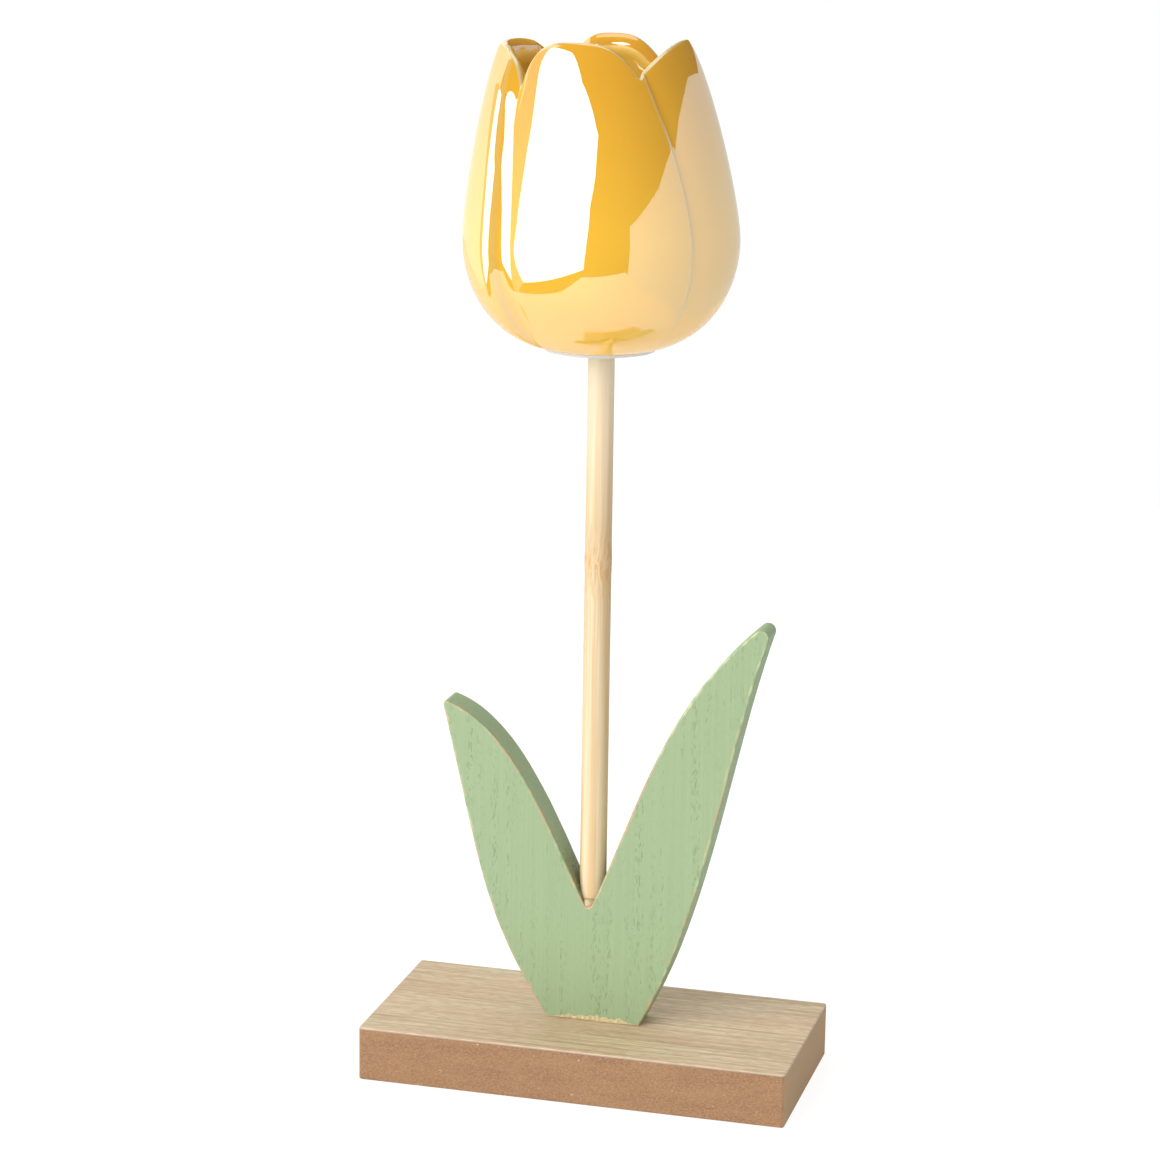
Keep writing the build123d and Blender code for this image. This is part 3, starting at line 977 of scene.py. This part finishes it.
def inset_limit(points, normal):
    """How far inward each point may go, eased from point to point."""
    limit = np.minimum(REACH_SHARE * far_side(points, normal), BEND_SHARE * bend_radius(points))
    for k in range(1, EASING_POINTS):
        for neighbour in (np.roll(limit, k), np.roll(limit, -k)):
            limit = np.minimum(limit, neighbour + EASING_SLOPE * k * OUTLINE_STEP)
    return limit


leaf_limit = inset_limit(leaf_outline, inward_normals(leaf_outline))
print("narrowest inset on the leaf:", round(float(leaf_limit.min()), 2), "mm")

# %% [markdown]
# The face is a set of rings: up the sawn side, round the arris, then inward over the face to a flat cap. A
# slow noise makes the arris rounder in some places than in others, as hand sanding does.

# %% Leaf faces with a rubbed arris
FACE_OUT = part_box("leaf_back_veneer")[1][1] / MM
ARRIS_RADIUS = 0.45
ARRIS_UNEVEN = 0.6
ARRIS_SHARE = 0.7
ARRIS_ROWS = range(1, 4)
SANDING = 0.11
SIDES_APART = 7
SIDE_WEAR = 0.55
ARRIS_WEAR = 1.0
FACE_WEAR = 0.85
FACE_RINGS = [(0.5, 0.35), (1.1, 0.12), (2.2, 0.0)]


def arris_rings(outline, limit, inner, side):
    """Rings from the glued face to the cap of the show face: inset, distance out and wear of each."""
    places = [Vector((x * SANDING, z * SANDING, side * SIDES_APART)) for x, z in outline]
    rough = np.array([noise.noise(spot) for spot in places])
    arris = np.minimum(ARRIS_RADIUS * (1 + ARRIS_UNEVEN * rough), ARRIS_SHARE * limit)
    face = np.full_like(arris, FACE_OUT)
    rings = [(0 * arris, np.full_like(arris, inner), 0.0), (0 * arris, FACE_OUT - arris, SIDE_WEAR)]
    for share in (1 / 3, 2 / 3):
        angle = share * math.pi / 2
        inset = arris * (1 - math.cos(angle))
        rings.append((inset, FACE_OUT - arris * (1 - math.sin(angle)), ARRIS_WEAR))
    rings.append((arris, face, FACE_WEAR))
    rings.extend((np.minimum(arris + inset, limit), face, worn) for inset, worn in FACE_RINGS)
    return rings


def leaf_face(name, node):
    """One face of the leaf as a closed mesh, its points marked with their wear."""
    outline, inner, side = outline_of(node)
    outline = resampled(outline)
    normal = inward_normals(outline)
    rings = arris_rings(outline, inset_limit(outline, normal), inner, side)
    moved = [outline + normal * inset[:, None] for inset, _, _ in rings]
    points = [np.stack([at[:, 0], side * out, at[:, 1]], axis=-1) for at, (_, out, _) in zip(moved, rings)]
    points = np.concatenate(points)
    count = len(outline)
    index = np.arange(len(points)).reshape(len(rings), count)
    faces = []
    for lower, upper in zip(index, index[1:]):
        faces.extend(zip(lower, np.roll(lower, -1), np.roll(upper, -1), upper))
    for ring, step in ((index[-1], 1), (index[0], -1)):
        flat = [Vector((points[i, 0], points[i, 2])) for i in ring]
        _, _, triangles, sources, *_ = geometry.delaunay_2d_cdt(flat, [], [range(count)], 1, TOUCHING)
        faces.extend(tuple(ring[sources[i][0]] for i in triangle[::step]) for triangle in triangles)
    if side > 0:
        faces = [face[::-1] for face in faces]
    piece = mesh_object(name, points, faces)
    rounded = [number // count in ARRIS_ROWS for number in range(len(piece.data.polygons))]
    piece.data.polygons.foreach_set("use_smooth", rounded)
    point_attribute(piece, "worn", np.concatenate([np.full(count, worn) for _, _, worn in rings]))
    return piece


front_face = leaf_face("leaf_front", "leaf_front_veneer")
back_face = leaf_face("leaf_back", "leaf_back_veneer")
print("leaf face:", len(front_face.data.polygons), "faces on each side")

# %% [markdown]
# The leaf has one green, but it dries differently on veneer and on a sawn edge, so it is two materials. On
# the face it sinks into open pores, is rubbed off along the arris, and at the foot, where the saw broke out
# of the veneer, a ragged strip of bare fibre shows above the board. The wear could be a painted mask, but
# the rings know how near the arris they are, so the paint reads it from them.

# %% Sage paint on the face, in millimetres
BOARD_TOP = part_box("base_veneer")[1][2] / MM
SALMON_NONE = 125
SALMON_FULL = 95
TORN_LOW = BOARD_TOP + 0.1
TORN_HIGH = BOARD_TOP + 2.4
TORN_NONE = 12
TORN_FULL = 9


def torn_foot(tree, coords):
    """Where the saw tore the veneer at the leaf's foot: 1 on bare fibre and 0 on paint."""
    runs = streaks(tree, coords, (7, 7, 400), detail=1.0, high=0.6)
    runs = add(tree, "ShaderNodeMath", {0: runs, 1: 0.5}, operation="MULTIPLY")[0]
    chips = streaks(tree, coords, (1.4, 1.4, 2.0))
    reach = add(tree, "ShaderNodeMath", {0: chips, 1: 0.45, 2: runs}, operation="MULTIPLY_ADD")[0]
    midway = zone(tree, coords, "X", TORN_NONE, TORN_FULL, middle=0)
    reach = add(tree, "ShaderNodeMath", {0: reach, 1: midway}, operation="MULTIPLY")[0]
    above = zone(tree, coords, "Z", TORN_LOW, TORN_HIGH)
    return add(tree, "ShaderNodeMath", {0: reach, 1: above}, operation="GREATER_THAN")[0]


def face_paint():
    # Thin matte paint over open-pored veneer gives the eye a soft green with short dark dashes in rows. The
    # pores are drawn a little wider than real ones, so that they show.
    made, tree = new_material("sage green paint on veneer")
    coords = add(tree, "ShaderNodeTexCoord")["Object"]
    grain = streaks(tree, coords, (0.7, 0.7, 45))
    rows = streaks(tree, coords, (2.2, 2.2, 70), detail=2.0, low=0.45, high=0.7)
    rows = add(tree, "ShaderNodeMath", {0: rows, 1: 0.15}, operation="ADD", use_clamp=True)[0]
    dashes = streaks(tree, coords, (0.42, 0.42, 1.7), detail=1.0, low=0.56, high=0.7)
    pores = add(tree, "ShaderNodeMath", {0: dashes, 1: rows}, operation="MULTIPLY")[0]
    worn = add(tree, "ShaderNodeAttribute", attribute_name="worn")["Fac"]
    patchy = streaks(tree, coords, (1.8, 1.8, 3.5), detail=4.0, low=0.2, high=0.8)
    rubbed = add(tree, "ShaderNodeMath", {0: worn, 1: patchy}, operation="MULTIPLY")[0]
    rubbed = add(tree, "ShaderNodeMapRange", {"Value": rubbed, "From Min": 0.28, "From Max": 0.6})[0]
    low = zone(tree, coords, "Z", SALMON_NONE, SALMON_FULL)
    warm = streaks(tree, coords, (9, 9, 14), detail=2.0, high=0.55)
    bare = layered(tree, "b5c494", [(low, warm, 1.0, "c1946e")])
    torn = torn_foot(tree, coords)
    fibres = streaks(tree, coords, (0.5, 0.5, 2.5), detail=2.0)
    fibres = layered(tree, "a99a70", [(fibres, 1.0, "cfc298")])
    layers = [
        (grain, 1.0, "8da179"),
        (pores, 0.5, "6b8059"),
        (rubbed, 0.85, bare),
        (torn, 1.0, fibres),
    ]
    sunk = add(tree, "ShaderNodeMath", {0: pores, 1: torn}, operation="MAXIMUM")[0]
    height = add(tree, "ShaderNodeMath", {0: 1.0, 1: sunk}, operation="SUBTRACT")[0]
    return surface(made, "889c74", layers, height, depth=0.1, shine={"Roughness": 0.55})


sage = face_paint()
for piece, node in ((front_face, "leaf_front_veneer"), (back_face, "leaf_back_veneer")):
    piece.data.materials.append(sage)
    seat(piece, "leaf_face_paint", node)

# %% [markdown]
# On the sawn edge the same paint dries rougher. Near the drilled fork the edge is painted a dark olive over
# the fibre, which shows through there: the dark olive is painted shade in the crotch round the stem. The
# solid has the right shape and keeps it, and the painted shade is a zone round the stem.

# %% Sage paint on the sawn edge, in millimetres
stem_low, stem_high = (np.array(corner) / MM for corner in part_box("bamboo_stem"))
STEM_X = (stem_low[0] + stem_high[0]) / 2
# The edge is painted darker between these heights near the fork: painted shade in the crotch.
FORK_SHADE_NONE = 74
FORK_SHADE_FULL = 56
ASIDE_NONE = 14
ASIDE_FULL = 7


def edge_paint():
    # Paint on sawn MDF gives the eye a chalky green, gritty where the fibres stand up. The grit is drawn
    # coarser than the fibres, so that it shows.
    made, tree = new_material("sage green paint on sawn MDF")
    coords = add(tree, "ShaderNodeTexCoord")["Object"]
    grit = streaks(tree, coords, (0.6, 0.6, 0.6))
    low = zone(tree, coords, "Z", FORK_SHADE_NONE, FORK_SHADE_FULL)
    near = zone(tree, coords, "X", ASIDE_NONE, ASIDE_FULL, middle=STEM_X)
    # Painted shade round the stem in the fork: a dark olive, with the fibre showing through it.
    fibre_and_shade = streaks(tree, coords, (1.0, 0.8, 1.0), detail=4.0, low=0.4, high=0.6)
    fibre_and_shade = layered(tree, "6a6a48", [(fibre_and_shade, 1.0, "8a9468")])
    layers = [(grit, 1.0, "9db188"), (low, near, 1.0, fibre_and_shade)]
    return surface(made, "8fa37b", layers, grit, depth=0.08, shine={"Roughness": 0.7})


dress("leaf_board", edge_paint())

# %% [markdown]
# ## The stem
#
# The stem is a planed bamboo rod: straight, a hair thicker at the foot, with one node where the culm had a
# joint. A cylinder would miss the node. The rod follows a rule, so Geometry Nodes draws it: a line is cut
# into short lengths, a radius is set along it, and a circle is swept. The node is a small bell-shaped
# swelling in that radius.

# %% Bamboo, in millimetres
NODE_HEIGHT = 153
NODE_SPREAD = 12
NODE_CORE = 1
NODE_SWIRL = 1.3
# The rod is painted paler between these heights: painted light against the flower's shadow.
TOP_LIGHT_NONE = 165
TOP_LIGHT_FULL = 215


def bamboo_material():
    # Planed bamboo gives the eye a warm straw colour in fine upright threads. Towards the top it is painted
    # paler, which is painted light that lifts the flower's shadow off the rod. At the node the threads
    # swerve and turn amber. They are drawn about twice as coarse as real fibres, so that they show.
    made, tree = new_material("planed bamboo")
    coords = add(tree, "ShaderNodeTexCoord")["Object"]
    joint = zone(tree, coords, "Z", NODE_SPREAD, NODE_CORE, middle=NODE_HEIGHT)
    swirl = streaks(tree, coords, (1.8, 1.8, 5), detail=1.0, low=0.2, high=0.8)
    push = add(tree, "ShaderNodeMath", {0: joint, 1: NODE_SWIRL * MM}, operation="MULTIPLY")[0]
    push = add(tree, "ShaderNodeMath", {0: push, 1: swirl}, operation="MULTIPLY")[0]
    bent = add(tree, "ShaderNodeVectorMath", {0: coords, 1: push}, operation="ADD")[0]
    bands = streaks(tree, bent, (2.2, 2.2, 90), detail=2.0)
    threads = streaks(tree, bent, (0.5, 0.5, 45))
    stained = streaks(tree, bent, (0.6, 0.6, 6), detail=2.0, low=0.45, high=0.6)
    # Painted light: paler towards the top of the rod.
    painted_top_light = zone(tree, coords, "Z", TOP_LIGHT_NONE, TOP_LIGHT_FULL)
    layers = [
        (bands, 1.0, "e3d3b4"),
        (threads, 0.5, "c49b62"),
        (joint, stained, 0.6, "c98f4a"),
        (painted_top_light, 0.6, "f8ead0"),
    ]
    shine = {"Roughness": 0.5, "Specular IOR Level": 0.1}
    return surface(made, "d0b48a", layers, threads, depth=0.03, shine=shine)


bamboo = bamboo_material()

# %% [markdown]
# The tree takes the rod's sizes as named inputs. It could stay a live modifier, but other tools read plain
# meshes, so the script runs it once on an empty object and keeps the result.

# %% Bamboo stem by Geometry Nodes
STEM_VALUES = {
    "Foot": stem_low[2] * MM,
    "Top": stem_high[2] * MM,
    "Axis": STEM_X * MM,
    "Foot Radius": 3.9 * MM,
    "Top Radius": 3.74 * MM,
    "Node Height": NODE_HEIGHT * MM,
    "Node Length": 3.0 * MM,
    "Node Swell": 0.12 * MM,
}
STEM_RINGS = 240
STEM_SIDES = 48


def stem_tree(values, material):
    """A rod swept along a line, with a bell-shaped swelling in its radius."""
    tree = bpy.data.node_groups.new("bamboo stem", "GeometryNodeTree")
    for key in values:
        tree.interface.new_socket(key, in_out="INPUT", socket_type="NodeSocketFloat")
    tree.interface.new_socket("Geometry", in_out="OUTPUT", socket_type="NodeSocketGeometry")
    given = add(tree, "NodeGroupInput")
    foot = add(tree, "ShaderNodeCombineXYZ", {0: given["Axis"], 2: given["Foot"]})
    top = add(tree, "ShaderNodeCombineXYZ", {0: given["Axis"], 2: given["Top"]})
    line = add(tree, "GeometryNodeCurvePrimitiveLine", {"Start": foot[0], "End": top[0]})
    cut = add(tree, "GeometryNodeResampleCurve", {"Curve": line[0], "Count": STEM_RINGS})
    share = add(tree, "GeometryNodeSplineParameter")["Factor"]
    taper = {"Value": share, "To Min": given["Foot Radius"], "To Max": given["Top Radius"]}
    taper = add(tree, "ShaderNodeMapRange", taper)
    spot = add(tree, "ShaderNodeSeparateXYZ", {0: add(tree, "GeometryNodeInputPosition")[0]})
    away = add(tree, "ShaderNodeMath", {0: spot[2], 1: given["Node Height"]}, operation="SUBTRACT")
    away = add(tree, "ShaderNodeMath", {0: away[0], 1: given["Node Length"]}, operation="DIVIDE")
    away = add(tree, "ShaderNodeMath", {0: away[0], 1: 2.0}, operation="POWER")
    bell = add(tree, "ShaderNodeMath", {0: math.exp(-1), 1: away[0]}, operation="POWER")
    swollen = {0: bell[0], 1: given["Node Swell"], 2: taper[0]}
    radius = add(tree, "ShaderNodeMath", swollen, operation="MULTIPLY_ADD")
    circle = add(tree, "GeometryNodeCurvePrimitiveCircle", {"Resolution": STEM_SIDES, "Radius": 1.0})
    swept = {0: cut[0], 1: circle[0], "Scale": radius[0], "Fill Caps": True}
    rod = add(tree, "GeometryNodeCurveToMesh", swept)
    whole = add(tree, "GeometryNodeRealizeInstances", {0: rod[0]})
    dressed = add(tree, "GeometryNodeSetMaterial", {0: whole[0], "Material": material})
    add(tree, "NodeGroupOutput", {0: dressed[0]})
    return tree


def grow(name, tree, values):
    """Runs a node tree on an empty object and keeps the result as a plain mesh."""
    made = mesh_object(name, np.zeros((0, 3)), [])
    modifier = made.modifiers.new(name, "NODES")
    modifier.node_group = tree
    for item in tree.interface.items_tree:
        if item.in_out == "INPUT" and item.name in values:
            modifier[item.identifier] = values[item.name]
    made.update_tag()
    graph = bpy.context.evaluated_depsgraph_get()
    mesh = bpy.data.meshes.new_from_object(made.evaluated_get(graph), depsgraph=graph)
    made.modifiers.remove(modifier)
    made.data = mesh
    return made


stem = grow("bamboo_rod", stem_tree(STEM_VALUES, bamboo), STEM_VALUES)
stem.data.polygons.foreach_set("use_smooth", [len(face.vertices) == 4 for face in stem.data.polygons])
seat(stem, "bamboo", "bamboo_stem")

# %% [markdown]
# ## Glue and screws
#
# Glue was squeezed out at the foot of the fork, before and behind the stem. Plain balls would look placed
# there, so two round drops are flattened and made lumpy by a noise. The collar of glue inside the cup and
# the two screws under the base are hardly seen: their solids have the right shape and only get a surface.

# %% Glue, in millimetres
BEAD_SIZE = (2.4, 1.2, 2.3)
BEAD_OUT = 3.8
BEAD_LEVEL = 50.9
BEAD_LUMPS = 0.16
LUMP_SCALE = 1.7
DROPS_APART = 5


def glue_material():
    # Cured glue gives the eye a yellowish drop with a small bright highlight. It is half clear, but that
    # hardly shows on so small a drop, so it is left opaque.
    made, tree = new_material("cured clear glue")
    coords = add(tree, "ShaderNodeTexCoord")["Object"]
    lumps = streaks(tree, coords, (1.6, 1.6, 1.6), detail=1.0)
    return surface(made, "a8946b", [], lumps, depth=0.15, shine={"Roughness": 0.25})


def fork_beads():
    """Two lumpy drops of glue at the foot of the fork, before and behind the stem."""
    grid = bmesh.new()
    for side in (-1, 1):
        aside = Vector((side * DROPS_APART, 0, 0))
        drop = bmesh.ops.create_icosphere(grid, subdivisions=4, radius=1.0)["verts"]
        for vert in drop:
            lump = 1 + BEAD_LUMPS * noise.noise(vert.co * LUMP_SCALE + aside)
            spread = Vector(vert.co[i] * BEAD_SIZE[i] for i in range(3)) * lump
            vert.co = (Vector((STEM_X, side * BEAD_OUT, BEAD_LEVEL)) + spread) * MM
    mesh = bpy.data.meshes.new("fork_glue")
    grid.to_mesh(mesh)
    grid.free()
    mesh.polygons.foreach_set("use_smooth", [True] * len(mesh.polygons))
    made = bpy.data.objects.new("fork_glue", mesh)
    bpy.context.scene.collection.objects.link(made)
    return made


clear_glue = glue_material()
dress("head_glue", clear_glue)
beads = fork_beads()
beads.data.materials.append(clear_glue)
seat(beads, "glue", "stem_glue")

# %% Screws
def steel_material():
    # Zinc plating gives the eye a dull silver with a fine, uneven sheen.
    made, tree = new_material("zinc-plated steel")
    coords = add(tree, "ShaderNodeTexCoord")["Object"]
    sheen = streaks(tree, coords, (0.5, 0.5, 0.5), detail=2.0)
    return surface(made, "b9b6ac", [], sheen, depth=0.02, shine={"Metallic": 1.0, "Roughness": 0.35})


dress("fixing_screws", steel_material())
